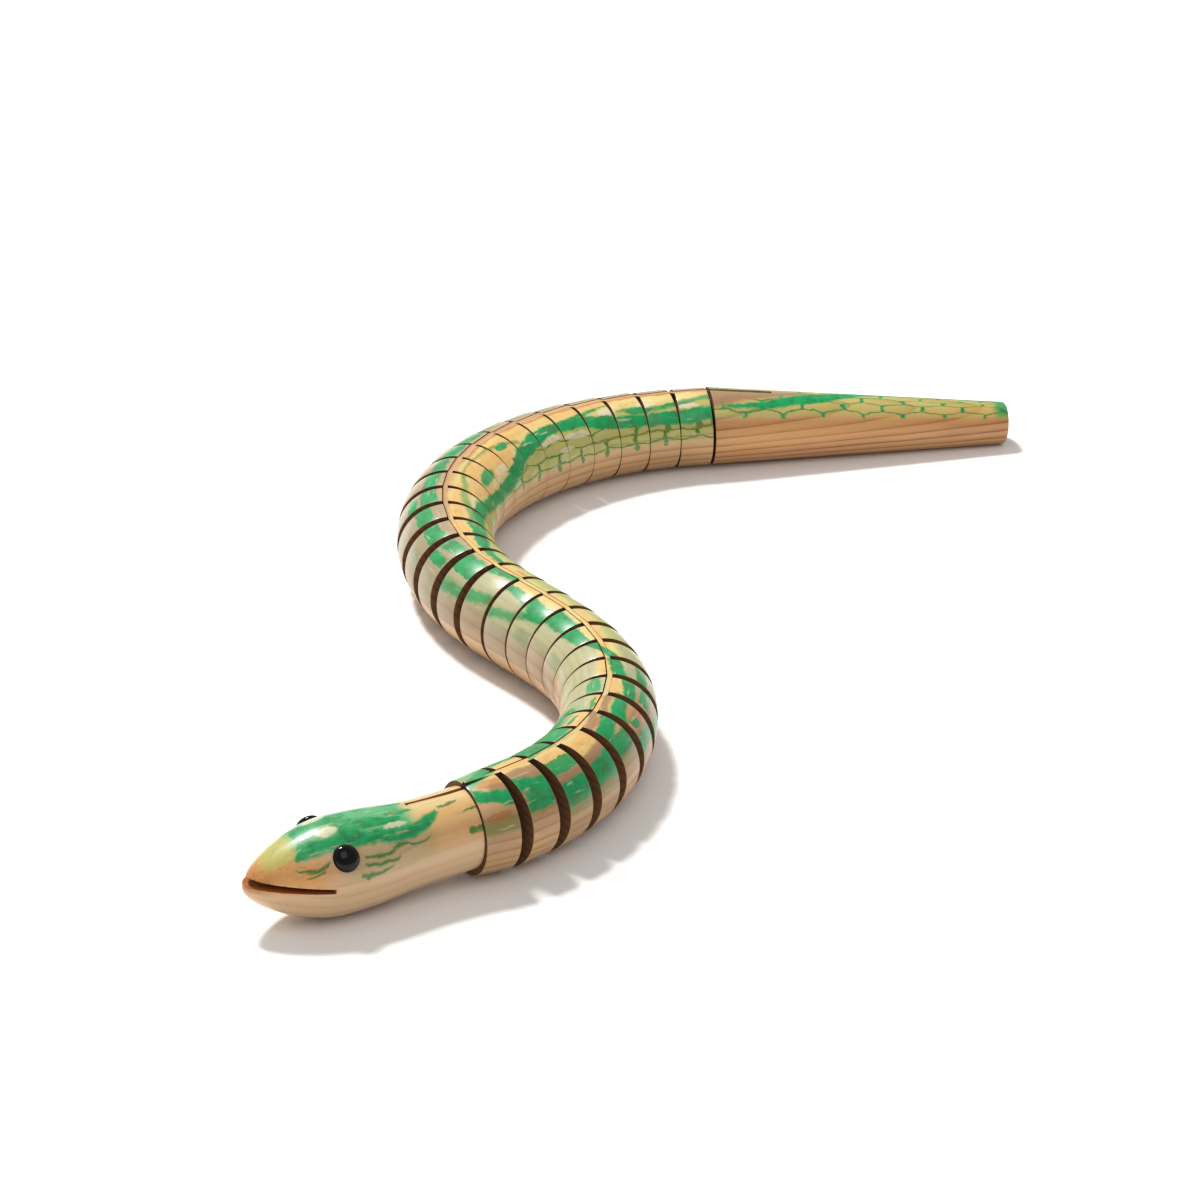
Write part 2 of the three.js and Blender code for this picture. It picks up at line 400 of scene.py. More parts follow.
def noise(tree, vector, scale, detail=3.0, roughness=0.55):
    made = addNode(tree, "ShaderNodeTexNoise", {
        "Vector": vector, "Scale": scale, "Detail": detail, "Roughness": roughness,
    })
    return made.outputs["Fac"]


def stretched(tree, vector, scale, offset=(0, 0, 0)):
    made = addNode(tree, "ShaderNodeMapping", {"Vector": vector, "Scale": scale, "Location": offset})
    return made.outputs["Vector"]


underLight = 0.68  # the colours are given as they look in full light


def rgb(hexCode):
    parts = [int(hexCode[i:i + 2], 16) / 255 for i in (0, 2, 4)]
    linear = [c / 12.92 if c <= 0.04045 else ((c + 0.055) / 1.055) ** 2.4 for c in parts]
    return [c * underLight for c in linear] + [1]


def newGroup(name, inputs, outputs):
    group = bpy.data.node_groups.new(name, "ShaderNodeTree")
    for label, kind, value in inputs:
        socket = group.interface.new_socket(label, in_out="INPUT", socket_type=kind)
        if value is not None:
            socket.default_value = value
    for label, kind in outputs:
        group.interface.new_socket(label, in_out="OUTPUT", socket_type=kind)
    return group, group.nodes.new("NodeGroupInput").outputs, group.nodes.new("NodeGroupOutput").inputs


def useGroup(tree, group, inputs):
    return addNode(tree, "ShaderNodeGroup", inputs, node_tree=group).outputs


floatKind, vectorKind, colourKind = "NodeSocketFloat", "NodeSocketVector", "NodeSocketColor"
white = (1, 1, 1, 1)


grainSizes = {
    "drift": (5, 70, 70),
    "driftShare": 1.6,
    "heartPull": (0.012, 1, 1),
    "heartAt": (0, 0.021, -0.034),
    "lateWood": 3.5,
    "fibre": (40, 1500, 1500),
    "clouds": (20, 110, 110),
    "fibreHeight": 0.4,
}


# Straight grain along the piece, from growth rings round a heart that lies outside it.
def makeWoodGrain():
    tree, given, out = newGroup("woodGrain", [
        ("Place", vectorKind, None), ("Light", colourKind, white), ("Dark", colourKind, white),
        ("Rings", floatKind, 420.0), ("Strength", floatKind, 0.5),
    ], [("Color", colourKind), ("Height", floatKind)])
    place = given["Place"]
    drift = noise(tree, stretched(tree, place, grainSizes["drift"]), 1.0, 2.0)
    heart = stretched(tree, place, grainSizes["heartPull"], grainSizes["heartAt"])
    away = addNode(tree, "ShaderNodeVectorMath", {0: heart}, operation="LENGTH").outputs["Value"]
    rings = calc(tree, "MULTIPLY", away, given["Rings"])
    wander = calc(tree, "MULTIPLY", drift, grainSizes["driftShare"])
    yearly = calc(tree, "FRACT", calc(tree, "ADD", rings, wander))
    late = calc(tree, "POWER", yearly, grainSizes["lateWood"])
    fibre = noise(tree, stretched(tree, place, grainSizes["fibre"]), 1.0, 3.0, 0.6)
    cloudy = noise(tree, stretched(tree, place, grainSizes["clouds"]), 1.0, 2.0)
    streak = calc(tree, "MULTIPLY", late, given["Strength"])
    for part, middle, share in ((fibre, 0.45, 0.55), (cloudy, 0.45, 0.8)):
        change = calc(tree, "MULTIPLY", calc(tree, "SUBTRACT", part, middle), share)
        streak = calc(tree, "ADD", streak, change, clamp=True)
    tree.links.new(mixColour(tree, streak, given["Light"], given["Dark"]), out["Color"])
    raised = calc(tree, "MULTIPLY", fibre, grainSizes["fibreHeight"])
    tree.links.new(calc(tree, "SUBTRACT", raised, late), out["Height"])
    return tree


# A net of long hexagons, one cell per unit along and around.
def makeScaleNet():
    tree, given, out = newGroup("scaleNet", [
        ("Along", floatKind, 0.0), ("Around", floatKind, 0.0), ("Line", floatKind, 0.06),
    ], [("Line", floatKind)])
    tall = math.sqrt(3)
    soft = 0.035

    def cell(shift):
        x = calc(tree, "FLOORED_MODULO", calc(tree, "ADD", given["Around"], 0.5 * shift), 1.0)
        y = calc(tree, "FLOORED_MODULO", calc(tree, "ADD", given["Along"], tall / 2 * shift), tall)
        x = calc(tree, "ABSOLUTE", calc(tree, "SUBTRACT", x, 0.5))
        y = calc(tree, "ABSOLUTE", calc(tree, "SUBTRACT", y, tall / 2))
        slanted = calc(
            tree, "ADD", calc(tree, "MULTIPLY", x, 0.5), calc(tree, "MULTIPLY", y, tall / 2),
        )
        return calc(tree, "MAXIMUM", slanted, x)

    away = calc(tree, "MINIMUM", cell(0), cell(1))
    edge = calc(tree, "SUBTRACT", 0.5, away)
    tree.links.new(lineMask(tree, edge, given["Line"], soft), out["Line"])
    return tree


# Length along the axis in mm, and angle round it from the top in degrees, plus on the snake's right.
def makeRoundTheAxis():
    tree, given, out = newGroup("roundTheAxis", [("Place", vectorKind, None)], [
        ("Along", floatKind), ("Around", floatKind),
    ])
    split = addNode(tree, "ShaderNodeSeparateXYZ", {0: given["Place"]}).outputs
    angle = calc(tree, "ARCTAN2", split["Y"], split["Z"])
    tree.links.new(calc(tree, "MULTIPLY", split["X"], 1 / mm), out["Along"])
    tree.links.new(calc(tree, "DEGREES", angle), out["Around"])
    return tree


woodGrain, scaleNet, roundTheAxis = makeWoodGrain(), makeScaleNet(), makeRoundTheAxis()

paint = {
    "green": rgb("00A65C"), "deepGreen": rgb("008346"), "netGreen": rgb("437F2E"),
    "mint": rgb("4FBA7C"), "paleMint": rgb("B9C79C"), "yellowGreen": rgb("BFC86C"),
    "olive": rgb("86883F"), "yellow": rgb("EFD68A"), "orange": rgb("EFAA5C"),
    "rust": rgb("C0703A"), "pink": rgb("A67C5C"), "grey": rgb("A8977A"),
    "cream": rgb("F1E6C4"), "umber": rgb("7A4A26"),
}
wood = {
    "light": rgb("DDB27C"), "dark": rgb("A1683A"),
    "sawn": rgb("7C5534"), "sawnDark": rgb("3F2614"),
    "bare": rgb("DCA973"), "bareDark": rgb("9A5526"),
    "jaw": rgb("E8C498"), "jawDark": rgb("C8935E"),
    "strip": rgb("5A4028"), "stripDark": rgb("2E1F14"),
    "bead": rgb("07070A"),
}


def newMaterial(name, settings):
    material = bpy.data.materials.new(name)
    material.use_nodes = True
    tree = material.node_tree
    shader = tree.nodes["Principled BSDF"]
    for key, value in settings.items():
        shader.inputs[key].default_value = value
    return material, tree, shader


def placeOf(tree):
    return addNode(tree, "ShaderNodeAttribute", attribute_name="laid").outputs["Vector"]


def bumpFrom(tree, shader, height, strength, distance):
    made = addNode(tree, "ShaderNodeBump", {"Height": height, "Strength": strength, "Distance": distance})
    tree.links.new(made.outputs["Normal"], shader.inputs["Normal"])


# A smooth line through a few points, read at a value.
def lineThrough(tree, value, points):
    xs, ys = [x for x, y in points], [y for x, y in points]
    lowX, lowY = min(xs), min(ys)
    spanX, spanY = max(xs) - lowX, max(max(ys) - lowY, 0.001)
    made = tree.nodes.new("ShaderNodeFloatCurve")
    share = calc(tree, "DIVIDE", calc(tree, "SUBTRACT", value, lowX), spanX, clamp=True)
    tree.links.new(share, made.inputs["Value"])
    line = made.mapping.curves[0]
    for extra in range(len(points) - 2):
        line.points.new(0.5, 0.5)
    for spot, (x, y) in zip(line.points, points):
        spot.location = ((x - lowX) / spanX, (y - lowY) / spanY)
    made.mapping.update()
    return calc(tree, "MULTIPLY_ADD", made.outputs["Value"], spanY, lowY)


# How far the brush wanders, in mm along the snake and in degrees round it, and how finely.
hand = {
    "broad": 90.0, "fine": 420.0, "other": 260.0,
    "otherAt": (0.3, 0.1, 0.2),
    "fineAlong": 1.3, "otherAlong": 3.2,
    "broadTurn": 11.0, "fineTurn": 9.0,
    "patches": 330.0,
    "bristles": (120, 900, 900),
}


# Lays coats over each other, by length along the snake and by angle round it from its top.
# The brush wanders a little, so nothing has a drawn edge.
class Painter:
    def __init__(self, name, unit, start=0.0):
        self.tree, given, self.out = newGroup(
            name, [("Place", vectorKind, None), ("Ground", colourKind, white)],
            [("Color", colourKind), ("Cover", floatKind)],
        )
        tree, self.place, self.colour = self.tree, given["Place"], given["Ground"]
        at = useGroup(tree, roundTheAxis, {"Place": self.place})
        self.exactAlong = calc(tree, "DIVIDE", calc(tree, "SUBTRACT", at["Along"], start), unit)
        broad = self.wobble(hand["broad"], 2.0)
        fine = self.wobble(hand["fine"], 3.0, 0.65)
        other = self.wobble(hand["other"], 2.0, at=hand["otherAt"])
        shift = calc(
            tree, "MULTIPLY_ADD", fine, hand["fineAlong"] / unit,
            calc(tree, "MULTIPLY", other, hand["otherAlong"] / unit),
        )
        self.along = calc(tree, "ADD", self.exactAlong, shift)
        turn = calc(
            tree, "MULTIPLY_ADD", broad, hand["broadTurn"],
            calc(tree, "MULTIPLY", fine, hand["fineTurn"]),
        )
        self.around = calc(tree, "ADD", at["Around"], turn)
        self.patchy = noise(tree, self.place, hand["patches"], 4.0, 0.7)
        self.brushed = noise(tree, stretched(tree, self.place, hand["bristles"]), 1.0, 2.0)
        self.cover = None

    def wobble(self, scale, detail, roughness=0.55, at=None):
        place = stretched(self.tree, self.place, (1, 1, 1), at) if at else self.place
        return calc(self.tree, "SUBTRACT", noise(self.tree, place, scale, detail, roughness), 0.5)

    # The slices sit a little turned, each by its own amount up to these degrees, which fades
    # out between the two lengths.
    def stagger(self, degrees, gone, full):
        tree = self.tree
        which = calc(tree, "FLOOR", self.exactAlong)
        dice = addNode(tree, "ShaderNodeTexWhiteNoise", {"W": which}, noise_dimensions="1D")
        chance = calc(tree, "SUBTRACT", dice.outputs["Value"], 0.5)
        share = calc(tree, "MULTIPLY", chance, ease(tree, which, gone, full))
        self.around = calc(tree, "MULTIPLY_ADD", share, 2 * degrees, self.around)

    def times(self, *masks):
        made = masks[0]
        for mask in masks[1:]:
            made = calc(self.tree, "MULTIPLY", made, mask)
        return made

    # The tint is the name of a paint, or a colour.
    def lay(self, mask, tint):
        tint = paint[tint] if isinstance(tint, str) else tint
        self.colour = mixColour(self.tree, mask, self.colour, tint)
        self.cover = mask if self.cover is None else calc(self.tree, "MAXIMUM", self.cover, mask)

    # A soft patch between two lengths and two angles.
    def wash(self, tint, alongs, angles, strength=1.0, softAlong=0.8, softAround=8.0):
        mask = self.times(
            bandMask(self.tree, self.along, *alongs, softAlong),
            bandMask(self.tree, self.around, *angles, softAround), strength,
        )
        self.lay(mask, tint)

    # A brush stroke through (along, angle, half width) points.
    def stroke(self, tint, points, strength=1.0, soft=2.2, tip=0.12):
        tree = self.tree
        middle = lineThrough(tree, self.along, [(x, angle) for x, angle, half in points])
        half = lineThrough(tree, self.along, [(x, half) for x, angle, half in points])
        away = calc(tree, "ABSOLUTE", calc(tree, "SUBTRACT", self.around, middle))
        ends = bandMask(tree, self.along, points[0][0], points[-1][0], tip)
        self.lay(self.times(lineMask(tree, away, half, soft), ends, strength), tint)

    # Round or square dabs: (along, angle, half length, half width) each.
    def dabs(self, tint, places, strength=1.0, square=False):
        tree, mask, power = self.tree, None, 6.0 if square else 2.0
        for x, angle, halfLong, halfWide in places:
            one = calc(tree, "DIVIDE", calc(tree, "SUBTRACT", self.along, x), halfLong)
            other = calc(tree, "DIVIDE", calc(tree, "SUBTRACT", self.around, angle), halfWide)
            one = calc(tree, "POWER", calc(tree, "ABSOLUTE", one), power)
            other = calc(tree, "POWER", calc(tree, "ABSOLUTE", other), power)
            dab = ease(tree, calc(tree, "ADD", one, other), 1.35, 0.65)
            mask = dab if mask is None else calc(tree, "MAXIMUM", mask, dab)
        self.lay(self.times(mask, strength), tint)

    # A net of long scales, between two lengths and two angles.
    def net(self, tint, alongs, angles, scaleLong, rowAngle, line, start):
        tree = self.tree
        away = calc(tree, "SUBTRACT", self.around, start[1])
        row = calc(tree, "DIVIDE", away, rowAngle * 2 / math.sqrt(3))
        step = calc(tree, "DIVIDE", calc(tree, "SUBTRACT", self.along, start[0]), scaleLong)
        mesh = useGroup(tree, scaleNet, {"Along": row, "Around": step, "Line": line})
        edges = self.times(
            bandMask(tree, self.along, *alongs, 0.3 * scaleLong),
            bandMask(tree, self.around, *angles, 1.5),
        )
        self.lay(self.times(mesh["Line"], edges), tint)

    # Thin marks on what is painted already, where a pattern rises from low to high.
    def fleck(self, tint, value, low, high, strength):
        self.lay(self.times(ease(self.tree, value, low, high), self.cover, strength), tint)

    def done(self):
        tree = self.tree
        tree.links.new(self.colour, self.out["Color"])
        tree.links.new(self.cover, self.out["Cover"])
        return tree

    # The green is darker where two brush loads met.
    def green(self):
        mottled = ease(self.tree, self.patchy, 0.42, 0.66)
        return mixColour(self.tree, mottled, paint["green"], paint["deepGreen"])


# Lengths on the body are counted in segments from the head's seam.
def makeBodyPaint():
    brush = Painter("bodyPaint", pitch / mm)
    brush.stagger(13.0, 15.0, 11.0)
    green = brush.green()
    # thin washes under everything
    brush.wash("yellowGreen", (14, 31), (-86, -10), 0.72, 2.0, 7)
    brush.wash("paleMint", (6.5, 15.5), (-75, -8), 0.75, 1.0, 8)
    brush.wash("yellowGreen", (8.5, 15.5), (-32, -4), 0.7, 1.0, 6)
    brush.wash("paleMint", (4.5, 18), (8, 74), 0.7, 1.5, 8)
    brush.wash("mint", (-1, 5.2), (12, 72), 0.85, 0.8, 8)
    brush.wash("grey", (14.5, 31), (4, 100), 0.85, 1.5, 8)
    brush.wash("grey", (9, 15), (62, 100), 0.5, 1.0, 8)
    brush.wash("pink", (-0.5, 8), (-104, -52), 0.45, 1.0, 10)
    brush.wash("mint", (4, 7.6), (-82, -60), 0.45, 0.6, 6)
    # the sprayed back
    brush.stroke("yellow", [
        (-0.2, -4, 14), (3, -12, 20), (5, -4, 14), (8, 0, 14), (12, -3, 13), (15, -8, 10),
        (18, -16, 12), (19.5, -32, 24), (21, -38, 28), (22.5, -30, 24), (24, -20, 14),
        (27.5, -16, 12), (30, -14, 8),
    ], 0.9, 5.0, 0.5)
    brush.stroke(mixColour(brush.tree, brush.brushed, paint["orange"], paint["yellow"]), [
        (0.5, -10, 9), (1.5, -8, 10), (3.5, -12, 12), (5, 2, 6), (8, 6, 6), (9.5, -6, 5),
        (12, -4, 5), (15, -4, 6), (17, -9, 7), (19, -24, 14), (20.5, -38, 22), (22.3, -32, 16),
        (23.5, -16, 8), (26, -14, 6), (27.3, -14, 3),
    ], 0.95, 4.0, 0.4)
    brush.stroke("rust", [
        (20.5, -7, 1.2), (22.5, -8, 2.2), (25, -8, 2.6), (27.5, -5, 3.0), (29, -3, 2),
    ], 0.7, 1.5)
    brush.stroke("pink", [
        (0.5, -24, 9), (2.0, -31, 9), (3.0, -34, 7), (4.2, -22, 6), (5.4, -8, 5), (6.2, -2, 3),
    ], 0.85, 3.0)
    brush.stroke("olive", [(-0.3, -66, 9), (2, -67, 10), (3.5, -68, 9), (4.6, -70, 5)], 0.75, 4.0)
    brush.dabs("rust", [
        (0.45, -55, 0.3, 5), (0.6, -12, 0.35, 7), (4.6, -26, 0.3, 5), (2.4, -62, 0.25, 4),
        (5.5, -47, 0.4, 6), (13.3, -8, 0.2, 3),
    ], 0.6)
    # thin scales low on the left side, with spikes under them
    brush.net("netGreen", (21.6, 30.2), (-86, -46), 1.0, 14.0, 0.055, (0.5, -62))
    brush.dabs("netGreen", [(x + 0.5, -87, 0.07, 6) for x in range(22, 29)], 0.9)
    brush.dabs("netGreen", [
        (27.55, -66, 0.07, 8), (28.6, -66, 0.07, 8), (29.6, -66, 0.07, 7),
    ], 0.9)
    brush.stroke("olive", [(25.8, -68, 1.0), (28, -69, 1.3), (30, -67, 1.0)], 0.9, 1.0)
    brush.stroke("olive", [(26.5, -79, 0.8), (28.5, -80, 1.0), (30, -78, 0.7)], 0.8, 1.0)
    brush.dabs("cream", [
        (24.45, -49, 0.42, 5), (25.5, -52, 0.42, 5), (24.95, -68, 0.36, 3.5),
    ], 0.65)
    # the long green chain, from the back down the left side and along it to the tail
    brush.stroke(green, [
        (13.9, -8, 4), (15, -14, 7), (16, -24, 10), (17, -34, 11), (18, -44, 10), (19, -56, 9),
        (20, -68, 9), (21, -73, 10), (22, -67, 10.5), (23, -50, 11), (24, -39, 10), (25, -35, 8),
        (25.8, -36, 9), (26.6, -44, 10), (27.6, -50, 10), (29, -51, 10.5), (30.2, -48, 11),
    ])
    brush.stroke(mixColour(brush.tree, 0.4, green, paint["yellowGreen"]), [
        (16.6, -28, 3), (18, -27, 5), (19.2, -22, 4), (20.0, -16, 2.5),
    ], 0.85, 3.0)
    brush.stroke("netGreen", [
        (19.6, -18, 1.5), (21, -16, 1.8), (22.4, -24, 2.6), (23.3, -32, 2.6),
    ], 0.65, 2.5)
    brush.stroke(green, [
        (24.9, -29, 2.5), (25.6, -28, 4.5), (26.4, -22, 2.5), (27.0, -18, 1.2),
    ], 0.95, 2.0)
    brush.dabs(green, [
        (20.65, -44, 0.55, 8), (22.5, -27, 0.28, 5), (27.8, -34, 0.42, 6), (29.0, -30, 0.5, 4),
    ], 0.95)
    brush.stroke(green, [
        (26.6, -38, 2), (27.4, -30, 2.5), (28.3, -34, 4), (29.2, -26, 4), (30.2, -18, 7),
    ], 0.8, 3.0)
    brush.dabs("cream", [
        (26.85, -30, 0.3, 5), (28.1, -24, 0.32, 4), (29.35, -34, 0.3, 4.5),
    ], 0.85)
    brush.dabs("cream", [
        (20.9, -57, 0.45, 3.5), (21.6, -50, 0.4, 6), (18.6, -36, 0.5, 3),
    ], 0.6)
    # the loop and the blotches behind the head
    brush.stroke(green, [
        (0.05, -20, 11), (0.4, -30, 10), (1, -39, 9), (2, -47, 9), (3, -49, 11), (4, -44, 11),
        (5, -31, 10), (6, -18, 9), (7, -12, 8), (8, -3, 6.5), (8.6, 8, 7), (9.3, 20, 9), (10.5, 27, 12),
        (11.4, 27, 13), (11.9, 24, 7),
    ])
    brush.stroke(green, [
        (0.05, -10, 9), (0.4, 2, 9), (1, 13, 11), (2, 22, 14), (3.4, 30, 17), (4.6, 36, 15), (5.4, 42, 7),
    ], 0.95, 4.0)
    brush.dabs(green, [
        (1.6, -62, 0.48, 11), (2.45, -19, 0.46, 9), (2.5, -60, 0.4, 6), (3.4, -56, 0.48, 10),
        (4.5, -62, 0.48, 11), (5.55, -70, 0.5, 9), (6.5, -71, 0.48, 9), (6.6, -38, 0.44, 8),
        (7.5, -40, 0.44, 8), (5.4, -48, 0.2, 6),
    ], 0.95, True)
    brush.dabs(green, [(6.35, 27, 0.55, 8), (4.4, 4, 0.35, 3), (5.4, 8, 0.4, 3)], 0.9)
    # two branches and a row of blocks on the outer side of the second bend
    brush.stroke(green, [
        (11.4, 20, 7), (12.1, 14, 6.5), (13, 11, 6), (14, 14, 6), (15, 17, 8), (15.9, 22, 9),
    ], 0.95)
    brush.stroke(green, [
        (11.4, 34, 6), (12.2, 42, 6), (13.2, 52, 7), (14.6, 59, 8), (15, 60, 5),
    ], 0.8, 3.5)
    brush.dabs(green, [
        (14.5, 29, 0.46, 11), (15.5, 42, 0.38, 8), (16.45, 28, 0.46, 11), (17.45, 30, 0.46, 11),
        (18.45, 20, 0.46, 11), (18.4, 42, 0.38, 7), (19.5, 20, 0.44, 9), (20.5, 18, 0.44, 9),
        (21.5, 16, 0.44, 9), (22.5, 18, 0.44, 9),
    ], 0.95, True)
    dull = mixColour(brush.tree, 0.5, green, paint["grey"])
    brush.dabs(dull, [(x + 0.5, 24, 0.36, 9) for x in range(23, 31)], 0.7, True)
    faint = (9, 11, 16, 18, 20, 22, 24, 26, 28)
    brush.dabs(dull, [(x + 0.45, 62, 0.3, 8) for x in faint], 0.35, True)
    # the print is blotchy all over, and flecked where the wood shows through
    brush.fleck("olive", brush.patchy, 0.5, 0.72, 0.3)
    brush.fleck("cream", brush.brushed, 0.62, 0.72, 0.45)
    # wear on the edges that the saw left
    edge = addNode(brush.tree, "ShaderNodeAttribute", attribute_name="edge").outputs["Fac"]
    worn = ease(brush.tree, edge, 0.25, 0.9)
    brush.lay(brush.times(worn, ease(brush.tree, brush.patchy, 0.3, 0.6), 0.55), wood["light"])
    return brush.done()


# The strokes or dabs of one side of the head, on the side that is given.
def onSide(side, points):
    return [(x, side * angle, *rest) for x, angle, *rest in points]


# Lengths on the head are in millimetres from the neck, so the nose is at a minus value.
def makeHeadPaint():
    brush = Painter("headPaint", 1.0)
    green = brush.green()
    brush.wash("orange", (-66, -44), (-92, 92), 0.85, 5.0, 10)
    brush.wash("rust", (-66, -58), (-100, 100), 0.5, 3.0, 10)
    brush.wash("yellowGreen", (-58, -48), (-36, 40), 0.8, 2.0, 9)
    brush.wash("yellow", (-20, 2), (-48, 48), 0.55, 5.0, 10)
    brush.wash("mint", (-50, -17), (-44, 44), 0.95, 2.5, 7)
    for low, high in ((-80, -18), (18, 80)):
        brush.wash("orange", (-15, 2), (low, high), 0.5, 3.0, 10)
        brush.wash("rust", (-46, -34), (low * 1.1, high * 1.1), 0.12, 3.0, 10)
    for low, high in ((-84, -50), (50, 84)):
        brush.wash("olive", (-40, -12), (low, high), 0.3, 3.0, 8)
    for side in (-1, 1):
        brush.stroke(green, onSide(side, [
            (-51, 38, 4), (-46, 35, 9), (-40, 36, 9), (-34, 38, 9), (-28, 41, 9), (-22, 45, 9),
            (-16, 41, 9.5), (-12, 33, 8), (-9.5, 27, 4),
        ]), 1.0, 3.5, 0.8)
        brush.dabs(green, onSide(side, [
            (-46.5, 7, 3, 13), (-48, 25, 2.2, 10), (-42, 3, 4, 8), (-36.5, 9, 3.4, 10), (-29.5, 19, 5.2, 9),
            (-36, 27, 3, 10), (-23.5, 21, 3.4, 5), (-20, 10, 4, 5),
        ]), 0.92)
        brush.dabs("cream", onSide(side, [(-41.5, 18, 3.0, 7), (-22.5, 30, 3.4, 4.5)]), 0.75)
        brush.dabs("deepGreen", onSide(side, [(-19, 43, 4, 4), (-30, 42, 3, 3)]), 0.6)
        for scaleMark in (
            [(-50, 68, 1.2), (-45, 64, 1.8)],
            [(-36, 78, 1.6), (-31, 83, 2.2), (-26, 79, 1.8)],
            [(-34, 70, 1.6), (-29, 74, 2.4), (-24, 69, 1.8)],
            [(-34, 60, 1.8), (-28, 64, 2.3), (-22, 57, 2.2), (-18, 61, 1.8), (-14, 56, 1.2)],
            [(-52, 52, 1.5), (-47, 60, 2.2), (-43.5, 54, 1.6)],
            [(-9, 17, 1.0), (-6.5, 20, 2.6), (-3.5, 18, 1.2)],
            [(-2.5, 66, 3), (-0.5, 66, 4.5), (1.5, 66, 4)],
            [(-3, 40, 1.0), (0, 36, 2.0), (1.5, 38, 1.5)],
        ):
            brush.stroke("netGreen", onSide(side, scaleMark), 0.95, 1.8, 0.5)
    # bristle marks, dark and light
    brush.fleck("deepGreen", brush.brushed, 0.56, 0.66, 0.3)
    brush.fleck("yellow", brush.brushed, 0.42, 0.34, 0.3)
    return brush.done()


# Lengths on the tail are in millimetres from its root.
tailNet = {
    "lowest": [(0, -58), (35, -66), (60, -80), (80, -96), (95, -112)],
    "rowAngle": 25.0,
    "start": 3.2,
    "scaleLong": 12.8,
    "line": 0.045,
}


def makeTailPaint():
    brush = Painter("tailPaint", 1.0, body["count"] * pitch / mm)
    tree, green = brush.tree, brush.green()
    above = calc(tree, "SUBTRACT", brush.around, lineThrough(tree, brush.along, tailNet["lowest"]))
    flank = brush.times(ease(tree, above, -3.0, 4.0), ease(tree, brush.around, 118, 96))
    brush.lay(brush.times(flank, 0.55), paint["yellowGreen"])
    brush.wash("orange", (4, 95), (-112, -60), 0.35, 8.0, 14)
    row = calc(tree, "DIVIDE", above, tailNet["rowAngle"] * 2 / math.sqrt(3))
    fromStart = calc(tree, "SUBTRACT", brush.along, tailNet["start"])
    step = calc(tree, "DIVIDE", fromStart, tailNet["scaleLong"])
    mesh = useGroup(tree, scaleNet, {"Along": row, "Around": step, "Line": tailNet["line"]})
    brush.lay(brush.times(mesh["Line"], flank, 0.95), mixColour(tree, 0.4, paint["netGreen"], green))
    # the corners of the scales are knots of green
    halfStep = calc(tree, "FRACT", calc(tree, "MULTIPLY", step, 2.0))
    knots = calc(tree, "ABSOLUTE", calc(tree, "SUBTRACT", halfStep, 0.5))
    brush.lay(brush.times(ease(tree, knots, 0.38, 0.44), mesh["Line"], flank), green)
    brush.stroke("pink", [
        (-1, -24, 18), (5, -20, 16), (12, -14, 12), (22, -8, 9), (32, -2, 4),
    ], 0.9, 6.0, 2.0)
    brush.stroke("grey", [(2, 0, 12), (14, 2, 12), (26, 6, 10)], 0.7, 7.0, 3.0)
    brush.stroke(green, [
        (4, -39, 2.5), (12, -38, 5.5), (20, -34, 9), (26, -27, 13), (34, -17, 17), (41, -4, 16),
        (50, 14, 12), (62, 26, 12), (80, 30, 16), (96, 30, 24),
    ], 1.0, 3.5, 1.0)
    brush.stroke(green, [(0, 60, 10), (20, 70, 12), (50, 84, 10), (80, 90, 9)], 0.6, 5.0, 1.0)
    brush.wash(green, (90.5, 100), (-104, 118), 0.85, 1.6, 8)
    return brush.done()


bodyPaint, headPaint, tailPaint = makeBodyPaint(), makeHeadPaint(), makeTailPaint()


varnish = {
    "roughness": 0.46,
    "smootherPainted": -0.1,
    "specular": 0.32,
    "coatRoughness": 0.1,
    "bump": 0.12,
    "depth": 0.1 * mm,
}
sawnFace = {
    "roughness": 0.8,
    "specular": 0.25,
    "rings": 420.0,
    "streaks": 0.6,
    "bump": 0.4,
    "depth": 0.15 * mm,
}


# Varnished wood under its paint, glossier where the paint lies.
def makePaintedWood(name, light, dark, rings, strength, coats, gloss):
    material, tree, shader = newMaterial(name, {
        "Specular IOR Level": varnish["specular"], "Coat Weight": gloss,
        "Coat Roughness": varnish["coatRoughness"],
    })
    place = placeOf(tree)
    grain = useGroup(tree, woodGrain, {
        "Place": place, "Light": light, "Dark": dark, "Rings": rings, "Strength": strength,
    })
    painted = useGroup(tree, coats, {"Place": place, "Ground": grain["Color"]})
    tree.links.new(painted["Color"], shader.inputs["Base Color"])
    dullness = calc(
        tree, "MULTIPLY_ADD", painted["Cover"], varnish["smootherPainted"], varnish["roughness"],
    )
    tree.links.new(dullness, shader.inputs["Roughness"])
    bumpFrom(tree, shader, grain["Height"], varnish["bump"], varnish["depth"])
    return material


def makeSawnWood(name, light, dark):
    material, tree, shader = newMaterial(name, {
        "Roughness": sawnFace["roughness"], "Specular IOR Level": sawnFace["specular"],
    })
    grain = useGroup(tree, woodGrain, {
        "Place": placeOf(tree), "Light": light, "Dark": dark,
        "Rings": sawnFace["rings"], "Strength": sawnFace["streaks"],
    })
    tree.links.new(grain["Color"], shader.inputs["Base Color"])
    bumpFrom(tree, shader, grain["Height"], sawnFace["bump"], sawnFace["depth"])
    return material


def makeBeadBlack():
    material, tree, shader = newMaterial("beadBlack", {
        "Base Color": wood["bead"], "Specular IOR Level": 0.22,
    })
    dust = noise(tree, addNode(tree, "ShaderNodeTexCoord").outputs["Object"], 900.0, 2.0)
    tree.links.new(ease(tree, dust, 0.2, 3.0), shader.inputs["Roughness"])
    return material


